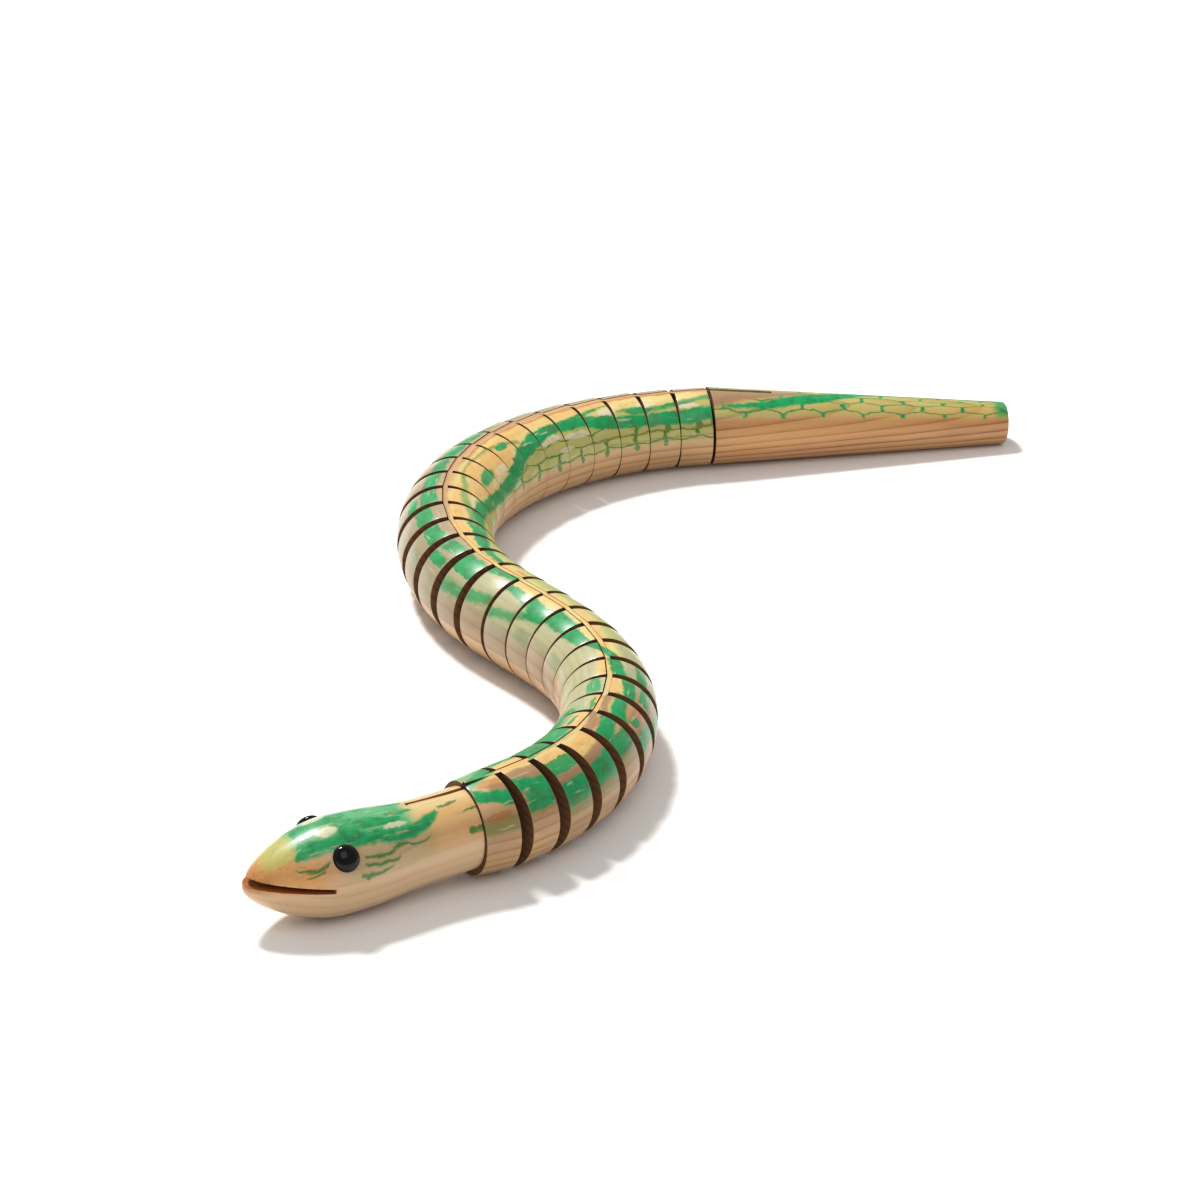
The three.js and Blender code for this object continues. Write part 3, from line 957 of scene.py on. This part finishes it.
def makeStripSide():
    material, tree, shader = newMaterial("stripSide", {"Roughness": 0.85, "Specular IOR Level": 0.2})
    weave = noise(tree, stretched(tree, placeOf(tree), (1800, 300, 1800)), 1.0, 2.0)
    woven = mixColour(tree, weave, wood["strip"], wood["stripDark"])
    tree.links.new(woven, shader.inputs["Base Color"])
    bumpFrom(tree, shader, weave, 0.3, 0.15 * mm)
    return material


# name, light and dark wood, rings to the metre, how strong they show, coats, gloss
paintedWood = makePaintedWood(
    "paintedWood", wood["light"], wood["dark"], 380.0, 0.75, bodyPaint, 0.22,
)
headWood = makePaintedWood("headWood", wood["jaw"], wood["jawDark"], 300.0, 0.4, headPaint, 0.42)
tailWood = makePaintedWood("tailWood", wood["bare"], wood["bareDark"], 430.0, 1.0, tailPaint, 0.15)
sawnWood = makeSawnWood("sawnWood", wood["sawn"], wood["sawnDark"])
mouthWood = makeSawnWood("mouthWood", paint["rust"], paint["umber"])
beadBlack, stripSide = makeBeadBlack(), makeStripSide()
print("materials made")


def finishPiece(thing, materials, slotName, bodyName, *nodes):
    for material in materials:
        thing.data.materials.append(material)
    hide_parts(*nodes)
    if bodyName:
        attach(thing, bodyName)


def headProfile():
    widest, neck = head["widestAt"], head["neckLength"]
    middle = (neck + widest) / 2
    cheek = interpolate_bezier(
        Vector((-neck, head["neckRadius"])), Vector((-middle, head["neckRadius"])),
        Vector((-middle, head["radius"])), Vector((-widest, head["radius"])), head["cheekSteps"],
    )
    nose = interpolate_bezier(
        Vector((-widest, head["radius"])),
        Vector((-widest - head["noseFullness"], head["radius"])),
        Vector((-head["length"], head["noseRoundness"])), Vector((-head["length"], 0)),
        head["noseSteps"],
    )
    points = [(x * mm, head["neckRadius"]) for x in head["neckSpare"]]
    return points + [(p.x, p.y) for p in cheek] + [(p.x, p.y) for p in nose[1:]]


# The head lies on its widest ring, and its neck curves up behind that.
def layDown(thing):
    for v in thing.data.vertices:
        share = max(1 + v.co.x / head["widestAt"], 0)
        v.co.z += head["neckLift"] * share ** 2 + head["radius"]
        v.co.y -= head["offset"]


def onCheek(side):
    tilt = math.radians(90 - head["eyeRise"])
    return Matrix.Translation((-head["eyeAt"], 0, 0)) @ Matrix.Rotation(-side * tilt, 4, "X")


def beadProfile():
    seat, radius = head["eyeSeat"], head["eyeRadius"]
    dome = []
    for step in range(1, head["domeSteps"] + 1):
        angle = step / head["domeSteps"] * math.pi / 2
        dome.append((seat + head["eyeDome"] * math.sin(angle), radius * math.cos(angle)))
    dome[-1] = (dome[-1][0], 0)
    return [(0, radius), (seat, radius)] + dome


def makeHead():
    made = turned("Head", headProfile(), head["sides"])
    slotHalf, mouthHalf, reach = body["stripSlot"] / 2, head["mouthGap"] / 2, head["cutterReach"]
    slotCutter = blockBetween(
        "slotCutter", (-head["slotLength"], -slotHalf + head["offset"], -reach),
        (head["slotSpare"], slotHalf + head["offset"], reach),
    )
    mouthCutter = blockBetween(
        "mouthCutter", (-head["mouthDepth"] - head["mouthSpare"], -reach, -mouthHalf),
        (0, reach, mouthHalf),
    )
    flareEnd(mouthCutter, -head["mouthDepth"], head["mouthFlare"])
    corner = (head["mouthDepth"] - head["length"], 0, -head["mouthDrop"])
    rise = Matrix.Rotation(math.radians(head["mouthRise"]), 4, "Y")
    mouthCutter.data.transform(Matrix.Translation(corner) @ rise)
    cheek = head["radius"] - head["eyeSink"]
    socketRadius = head["eyeRadius"] + head["eyeGap"]
    sockets, eyes = [], []
    upright = Matrix.Rotation(-math.pi / 2, 4, "Y")
    for name, side in (("left", -1), ("right", 1)):
        socket = turned("socket", [
            (cheek - head["eyeSeat"], socketRadius), (cheek + head["socketSpare"], socketRadius),
        ], head["socketSides"])
        socket.data.transform(onCheek(side) @ upright)
        sockets.append(socket)
        eye = turned(f"Eye_{name}", beadProfile(), head["eyeSides"])
        seat = Matrix.Translation((cheek - head["eyeSeat"] + 2 * head["eyeGap"], 0, 0))
        eye.data.transform(onCheek(side) @ upright @ seat)
        eyes.append((eye, name))
    cutAway(made, slotCutter, mouthCutter, *sockets)
    sawOff(made, (head["seamAt"] - body["buttGap"] / 2, 0, 0), (1, 0, 0))
    softenEdges(made, head["rim"], angle=42)
    keepPlace(made)
    toMouth = (Matrix.Translation(corner) @ rise).inverted()

    # In the slot or in the mouth, a little more than half their widths from the middle.
    def isInside(face):
        aside = abs(face.center.y - head["offset"])
        if aside < 0.52 * body["stripSlot"] and face.center.x > -head["slotLength"]:
            return True
        spot = toMouth @ face.center
        flare = 1 - (head["mouthFlare"] - 1) * spot.x / head["mouthDepth"]
        return spot.x < 0.1 * mm and abs(spot.z) < 0.52 * head["mouthGap"] * flare

    markSawn(made, isInside)
    for thing in [made] + [eye for eye, name in eyes]:
        layDown(thing)
        thing.data.transform(headLink.matrix())
        smoothShade(thing)
    finishPiece(made, [headWood, mouthWood], "head_wood", "head", "head")
    for eye, name in eyes:
        finishPiece(eye, [beadBlack], "eye_bead", "head", f"{name}_eye")


makeHead()
print("head made")


# The first segment narrows to the head and is mitred, so that it lies flat against its back.
def turnCollar(name, radius, end):
    start, spare = head["seamAt"] + body["buttGap"] / 2, body["spare"]
    growth = (radius - body["collarRadius"]) / (end - start)
    mitre = links[1].heading - headHeading
    made = turned(name, [
        (start - spare, body["collarRadius"] - spare * growth), (end, radius),
    ], body["sides"])
    sawOff(made, (start, 0, 0), (-math.cos(mitre), math.sin(mitre), 0))
    return made


def makeBody():
    bpy.ops.object.select_all(action="DESELECT")
    bpy.ops.mesh.primitive_cylinder_add(
        vertices=body["sides"], radius=1, depth=1, location=(0.5, 0, 0), rotation=(0, math.pi / 2, 0),
    )
    blank = newPiece("turnedBlank")
    selectOnly(blank)
    bpy.ops.object.transform_apply(location=True, rotation=True, scale=True)
    for index in range(1, body["count"] + 1):
        link, radius, end = links[index], segmentRadius(index), pitch - halfCut(index)
        for side, word in ((-1, "left"), (1, "right")):
            name = f"Segment_{index:02d}_{word}"
            if index == 1:
                half = turnCollar(name, radius, end)
            else:
                start = halfCut(index - 1)
                half = copyOf(blank, name)
                size = Matrix.Diagonal((end - start, radius, radius, 1))
                half.data.transform(Matrix.Translation((start, 0, 0)) @ size)
            softenEdges(half, body["rim"])
            sawOff(half, (0, side * body["stripSlot"] / 2, 0), (0, -side, 0))
            # the faces across the snake, and the one on the strip
            markSawn(half, lambda face: abs(face.normal.x) > 0.9 or -side * face.normal.y > 0.99)
            keepPlace(half, along=(index - 1) * pitch)
            keepEdge(half, (halfCut(index - 1) if index > 1 else 0, end), body["rim"])
            half.data.transform(link.matrix(radius))
            smoothShade(half)
            finishPiece(
                half, [paintedWood, sawnWood], "body_wood", bodyOf(index), segmentNode(index, word),
            )
    throwAway(blank)


makeBody()
print("body made")


def makeTail():
    slope = math.asin((tail["rootRadius"] - tail["tipRadius"]) / tail["length"])
    growth = math.tan(slope)
    spare, steps = body["spare"], tail["flankSteps"]
    profile = []
    for i in range(steps + 1):
        x = -spare + (tail["length"] + spare - tail["tipRound"]) * i / steps
        profile.append((x, tail["tipRadius"] + (tail["length"] - x) * growth))
    for i in range(1, tail["tipSteps"] + 1):
        angle = i / tail["tipSteps"] * math.pi / 2
        profile.append((
            tail["length"] - tail["tipRound"] * (1 - math.sin(angle)),
            tail["tipRadius"] - tail["tipRound"] * (1 - math.cos(angle)),
        ))
    made = turned("Tail", profile, tail["sides"])
    made.data.transform(Matrix.Rotation(slope, 4, "Y"))
    sawOff(made, (halfCut(body["count"]), 0, 0), (-1, 0, 0))
    slotCutter = blockBetween(
        "slotCutter", (-tail["slotSpare"], -body["stripSlot"] / 2, -tail["cutterReach"]),
        (tail["slotLength"], body["stripSlot"] / 2, tail["cutterReach"]),
    )
    cutAway(made, slotCutter)
    softenEdges(made, tail["rim"])
    markSawn(made, lambda face: abs(face.normal.x) > 0.9)
    keepPlace(made, along=body["count"] * pitch)
    made.data.transform(links[-1].matrix(tail["rootRadius"] / math.cos(slope)))
    smoothShade(made)
    finishPiece(made, [tailWood, sawnWood], "tail_wood", "tail", "tail")


makeTail()
print("tail made")


# The flexible strip has one stretch to a saw cut, each built curved through the bend at its own joint.
def stripTop(index):
    if index == 0:
        return head["radius"] + head["neckLift"] + head["neckRadius"] - strip["neckDepth"]
    if index > body["count"]:
        return 2 * tail["rootRadius"] - strip["tailDepth"]
    return 2 * segmentRadius(index) - strip["belowTop"]


def makeStrip():
    for joint in range(1, body["count"] + 1):
        before, after = links[joint], links[joint + 1]
        half = halfCut(joint)
        bendFrom = before.front + before.along * (pitch - half)
        bendTo = after.front + after.along * half
        stations = []
        if joint == 1:
            inNeck = strip["endGap"] - head["slotLength"]
            behind = head["seamAt"] - body["buttGap"] / 2
            stations.append(headLink.station(inNeck, stripTop(0), inNeck))
            stations.append(headLink.station(behind, stripTop(0), behind))
            behind += body["buttGap"]
            stations.append(before.station(behind, stripTop(1), behind))
        else:
            stations.append(before.station(pitch / 2, stripTop(joint), (joint - 0.5) * pitch))
        for step in range(strip["bendSteps"] + 1):
            t = step / strip["bendSteps"]
            spot = bendFrom * (1 - t) ** 2 + after.front * 2 * t * (1 - t) + bendTo * t ** 2
            turn = before.heading + (after.heading - before.heading) * t
            across = Vector((-math.sin(turn), math.cos(turn)))
            top = stripTop(joint) * (1 - t) + stripTop(joint + 1) * t
            stations.append((spot, across, top, joint * pitch + (2 * t - 1) * half))
        top = stripTop(joint + 1)
        if joint == body["count"]:
            inTail = tail["slotLength"] - strip["endGap"]
            stations.append(after.station(inTail, top, joint * pitch + tail["slotLength"]))
        else:
            stations.append(after.station(pitch / 2, top, (joint + 0.5) * pitch))
        makeStretch(joint, stations)


# One rectangle, extruded from station to station.
def makeStretch(joint, stations):
    low, thick = strip["bottom"], strip["thickness"]
    bpy.ops.object.select_all(action="DESELECT")
    bpy.ops.mesh.primitive_plane_add(size=1)
    made = newPiece(f"Strip_{joint:02d}")
    editAll(made)
    for step in range(len(stations) - 1):
        bpy.ops.mesh.extrude_region_move(TRANSFORM_OT_translate={"value": (0, 0, 1)})
    stopEditing()
    laid = []
    for v in made.data.vertices:
        spot, across, top, along = stations[round(v.co.z)]
        side = v.co.x * thick - strip["toTheLeft"]
        height = top if v.co.y > 0 else low
        v.co = (*(spot + across * side), height)
        laid += [along, side, height - top / 2]
    kept = made.data.attributes.new("laid", "FLOAT_VECTOR", "POINT")
    kept.data.foreach_set("vector", laid)
    editAll(made)
    bpy.ops.mesh.normals_make_consistent(inside=False)
    stopEditing()
    for face in made.data.polygons:
        face.material_index = 0 if face.normal.z > 0.9 else 1
    smoothShade(made)
    finishPiece(made, [paintedWood, stripSide], "strip", None, "spine_strip")
    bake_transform(made)


makeStrip()
print("strip made")


# Floor, light and camera.
view = {
    "elevation": 24.552,
    "distance": 1.552,
    "lens": 159.23,
    "sensor": 36,
    "aimFromMiddle": Vector((-0.002962, 0.032150, 0)),
}


stage = {
    "floorSize": 12,
    "floorColour": (0.95, 0.94, 0.93, 1),
    "floorRoughness": 0.9,
    "roomColour": (1, 0.985, 0.97, 1),
    "roomStrength": 0.47,
}
lights = {
    "keyLight": {"place": (-0.6, 0.8, 1.6), "size": 0.36, "power": 50, "tint": (1, 0.985, 0.96)},
    "fillLight": {"place": (0.5, -1.3, 1.9), "size": 1.4, "power": 9, "tint": (1, 1, 1)},
}


def makeStage():
    bpy.context.scene.view_settings.view_transform = "Standard"
    bpy.ops.mesh.primitive_plane_add(size=stage["floorSize"], location=(0, 0, 0))
    floor = newPiece("Floor")
    material, tree, shader = newMaterial("paleFloor", {
        "Base Color": stage["floorColour"], "Roughness": stage["floorRoughness"],
    })
    floor.data.materials.append(material)
    for name, lamp in lights.items():
        light = bpy.data.lights.new(name, "AREA")
        light.size = lamp["size"]
        light.energy = lamp["power"]
        light.color = lamp["tint"]
        holder = bpy.data.objects.new(name, light)
        bpy.context.scene.collection.objects.link(holder)
        holder.location = lamp["place"]
        holder.rotation_euler = (-Vector(lamp["place"])).to_track_quat("-Z", "Y").to_euler()
    world = bpy.data.worlds.new("softRoom")
    bpy.context.scene.world = world
    world.use_nodes = True
    room = world.node_tree.nodes["Background"].inputs
    room["Color"].default_value = stage["roomColour"]
    room["Strength"].default_value = stage["roomStrength"]


def makeCamera():
    middle = (joints[0] + joints[-1]) / 2
    aim = Vector((*middle, 0)) + view["aimFromMiddle"]
    rise = math.radians(view["elevation"])
    back = Vector((0, -math.cos(rise), math.sin(rise)))
    lens = bpy.data.cameras.new("Camera")
    lens.lens = view["lens"]
    lens.sensor_width = view["sensor"]
    camera = bpy.data.objects.new("Camera", lens)
    bpy.context.scene.collection.objects.link(camera)
    camera.location = aim + back * view["distance"]
    camera.rotation_euler = (-back).to_track_quat("-Z", "Y").to_euler()
    bpy.context.scene.camera = camera


makeStage()
makeCamera()
print("stage made")
